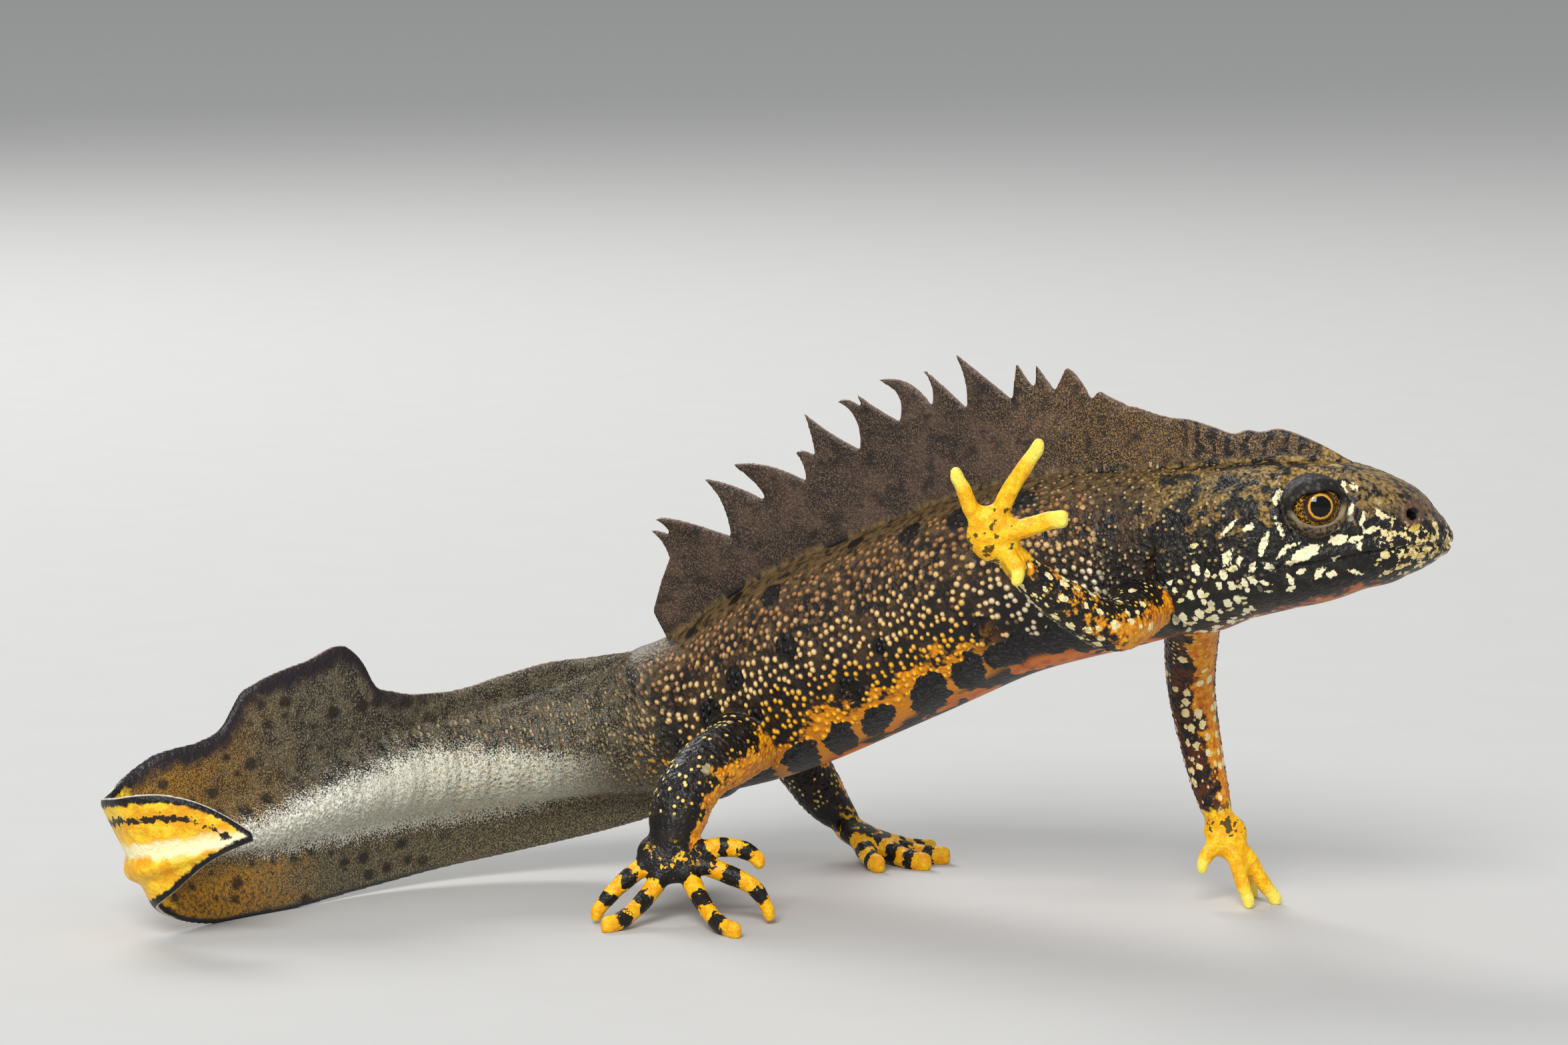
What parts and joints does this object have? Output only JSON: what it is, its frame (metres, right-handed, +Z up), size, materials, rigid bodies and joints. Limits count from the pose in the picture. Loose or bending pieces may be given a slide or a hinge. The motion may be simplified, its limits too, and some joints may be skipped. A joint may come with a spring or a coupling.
{
  "type": "great crested newt",
  "caption": "Still, life-size male great crested newt in breeding dress, walking with one forefoot raised and the end of its tail folded back.",
  "frame": {"origin": "on the floor, at the middle of the box that holds the whole animal", "axes": "+X toward the head, along the animal's length; +Z up; the animal's right side, with the raised hand, faces -Y"},
  "size_m": [0.1008, 0.0492, 0.0429],
  "materials": {
    "head_skin": "satin, slightly moist",
    "throat_skin": "satin, slightly moist",
    "body_skin": "satin, granular",
    "crest_skin": "satin, thin",
    "tail_skin": "satin",
    "tail_tip_skin": "satin",
    "leg_skin": "satin, granular",
    "foot_skin": "satin, smooth",
    "eye": "wet gloss"
  },
  "bodies": {
    "root": {"back_crest": "crest_skin", "eye_left": "eye", "eye_right": "eye", "foreleg_left_hand": "foot_skin", "foreleg_left_lower": "leg_skin", "foreleg_left_upper": "leg_skin", "foreleg_right_hand": "foot_skin", "foreleg_right_lower": "leg_skin", "foreleg_right_upper": "leg_skin", "head": "head_skin", "hind_leg_left_foot": "foot_skin", "hind_leg_left_shank": "leg_skin", "hind_leg_left_thigh": "leg_skin", "hind_leg_right_foot": "foot_skin", "hind_leg_right_shank": "leg_skin", "hind_leg_right_thigh": "leg_skin", "lower_jaw": "throat_skin", "neck": "body_skin", "tail_base": "tail_skin", "tail_end": "tail_skin", "tail_middle": "tail_skin", "tail_tip": "tail_tip_skin", "trunk": "body_skin"}
  },
  "joints": []
}
